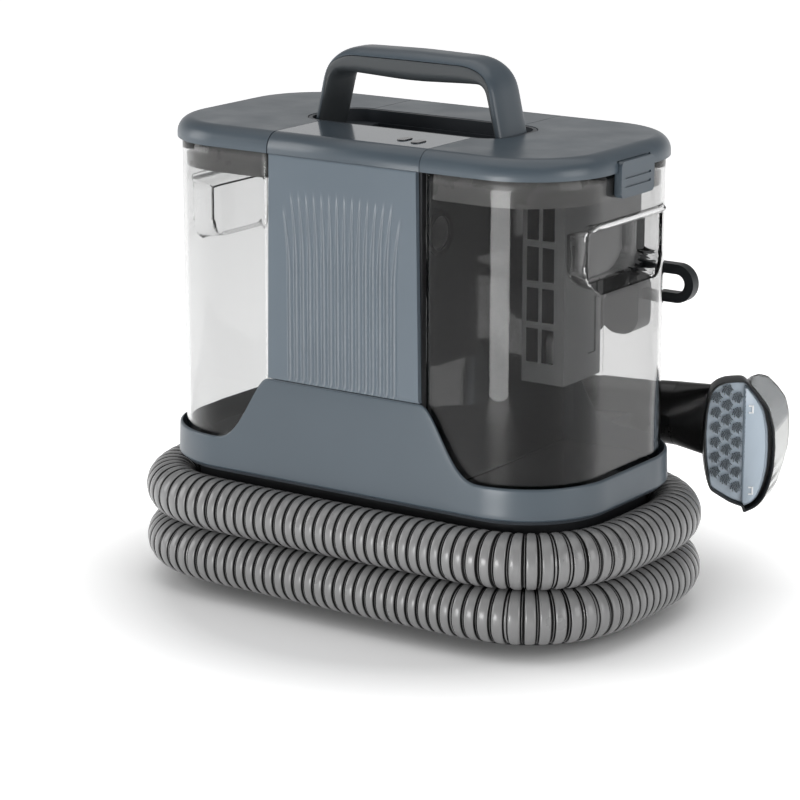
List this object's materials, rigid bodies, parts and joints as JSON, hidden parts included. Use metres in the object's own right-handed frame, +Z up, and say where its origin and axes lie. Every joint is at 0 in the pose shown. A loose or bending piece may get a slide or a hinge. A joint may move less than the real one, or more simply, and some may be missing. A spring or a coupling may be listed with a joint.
{
  "type": "carpet cleaner machine",
  "caption": "Compact spot and carpet cleaner with clear clean and dirty water tanks, top handle, and a ribbed hose wound round its base to a brush tool.",
  "frame": {"origin": "on the floor under the middle of the body plan, at the level of the foot pads", "axes": "+X along the body's length to the dirty-water tank, -Y to the ribbed front, +Z up"},
  "size_m": [0.3492, 0.2616, 0.3296],
  "materials": {
    "dark_base": "satin",
    "foot_rubber": "satin",
    "slate_shell": "satin",
    "black_plastic": "satin",
    "hose_grey": "satin",
    "panel_blue": "satin",
    "inner_grey": "satin",
    "inner_dark": "satin",
    "gloss_control": "gloss",
    "recess_black": "satin",
    "grip_dark": "satin",
    "button_black": "gloss",
    "steel": "satin",
    "motor_steel": "satin",
    "seal_grey": "satin",
    "board_green": "satin",
    "clear_tank": "gloss",
    "smoke_tank": "gloss",
    "pan_grey": "satin",
    "cage_dark": "satin",
    "black_gloss": "gloss",
    "clear_hood": "gloss",
    "plate_blue": "gloss",
    "bristle_blue": "satin"
  },
  "bodies": {
    "base": {"air_duct": "inner_grey", "base_plate": "dark_base", "base_shell": "slate_shell", "control_board": "board_green", "control_panel": "gloss_control", "fan_housing": "inner_grey", "feet": "foot_rubber", "front_panel": "panel_blue", "gun_body": "black_gloss", "gun_cuff": "black_plastic", "handle_grip": "grip_dark", "handle_shell": "slate_shell", "holder_arm": "black_plastic", "holder_cup": "black_plastic", "hook_loop": "black_plastic", "hose": "hose_grey", "hose_core": "dark_base", "hose_elbow": "black_plastic", "mains_inlet": "foot_rubber", "motor_bearings": "steel", "motor_body": "motor_steel", "motor_bracket": "inner_grey", "motor_mount": "foot_rubber", "port_seals": "foot_rubber", "pump": "black_plastic", "rear_cover": "slate_shell", "rear_top_strip": "slate_shell", "recess_tray": "recess_black", "side_wall_left": "inner_grey", "side_wall_right": "inner_dark", "suction_duct": "inner_grey", "switch_block": "inner_grey", "tool_cradle": "black_plastic", "valve_pin": "seal_grey", "water_tube": "seal_grey"},
    "clean_tank": {"clean_tank": "clear_tank"},
    "clean_valve": {"clean_valve": "seal_grey"},
    "clean_lid": {"clean_lid": "slate_shell", "clean_lid_pan": "pan_grey"},
    "clean_latch": {"clean_lid_tab": "slate_shell"},
    "dirty_tank": {"dirty_tank": "smoke_tank"},
    "dirty_lid": {"dirty_lid": "slate_shell", "dirty_lid_pan": "pan_grey", "separator_cage": "cage_dark", "float_stop": "cage_dark"},
    "dirty_latch": {"dirty_lid_tab": "slate_shell"},
    "float": {"float_ball": "seal_grey"},
    "power_button": {"power_button": "button_black"},
    "spray_button": {"spray_button": "button_black"},
    "fan": {"impeller": "inner_grey", "fan_shaft": "steel"},
    "trigger": {"gun_trigger": "grip_dark"},
    "brush_head": {"head_neck": "black_gloss", "head_frame": "black_plastic", "head_hood": "clear_hood", "brush_plate": "plate_blue", "bristle_tufts": "bristle_blue", "suction_lip": "plate_blue"}
  },
  "joints": [
    {"name": "clean_tank_tilt", "type": "hinge", "parent": "base", "child": "clean_tank", "pos_m": [-0.1468, 0, 0.0976], "axis": [0, -1, 0], "range_deg": [0, 22]},
    {"name": "clean_valve_lift", "type": "slide", "parent": "clean_tank", "child": "clean_valve", "axis": [0, 0, 1], "range_m": [0, 0.003], "stiffness_N_per_m": 120},
    {"name": "clean_lid_lift", "type": "slide", "parent": "clean_tank", "child": "clean_lid", "axis": [0, 0, 1], "range_m": [0, 0.06]},
    {"name": "clean_latch_flip", "type": "hinge", "parent": "clean_lid", "child": "clean_latch", "pos_m": [-0.1472, 0, 0.279], "axis": [0, 1, 0], "range_deg": [0, 14], "stiffness_Nm_per_rad": 0.2},
    {"name": "dirty_tank_tilt", "type": "hinge", "parent": "base", "child": "dirty_tank", "pos_m": [0.1468, 0, 0.0976], "axis": [0, 1, 0], "range_deg": [0, 22]},
    {"name": "dirty_lid_lift", "type": "slide", "parent": "dirty_tank", "child": "dirty_lid", "axis": [0, 0, 1], "range_m": [0, 0.15]},
    {"name": "dirty_latch_flip", "type": "hinge", "parent": "dirty_lid", "child": "dirty_latch", "pos_m": [0.1472, 0, 0.279], "axis": [0, -1, 0], "range_deg": [0, 14], "stiffness_Nm_per_rad": 0.2},
    {"name": "float_rise", "type": "slide", "parent": "dirty_lid", "child": "float", "axis": [0, 0, 1], "range_m": [0, 0.01]},
    {"name": "power_press", "type": "slide", "parent": "base", "child": "power_button", "axis": [0, 0, -1], "range_m": [0, 0.0015], "stiffness_N_per_m": 400},
    {"name": "spray_press", "type": "slide", "parent": "base", "child": "spray_button", "axis": [0, 0, -1], "range_m": [0, 0.0015], "stiffness_N_per_m": 400},
    {"name": "fan_spin", "type": "hinge", "parent": "base", "child": "fan", "pos_m": [0, 0, 0.15], "axis": [0, 0, 1], "continuous": true},
    {"name": "trigger_pull", "type": "hinge", "parent": "base", "child": "trigger", "pos_m": [0.025, 0.11317, 0.0805], "axis": [0.1392, -0.9903, 0], "range_deg": [0, 6], "stiffness_Nm_per_rad": 0.6},
    {"name": "brush_head_pull", "type": "slide", "parent": "base", "child": "brush_head", "axis": [0.9903, 0.1392, 0], "range_m": [0, 0.045]}
  ]
}
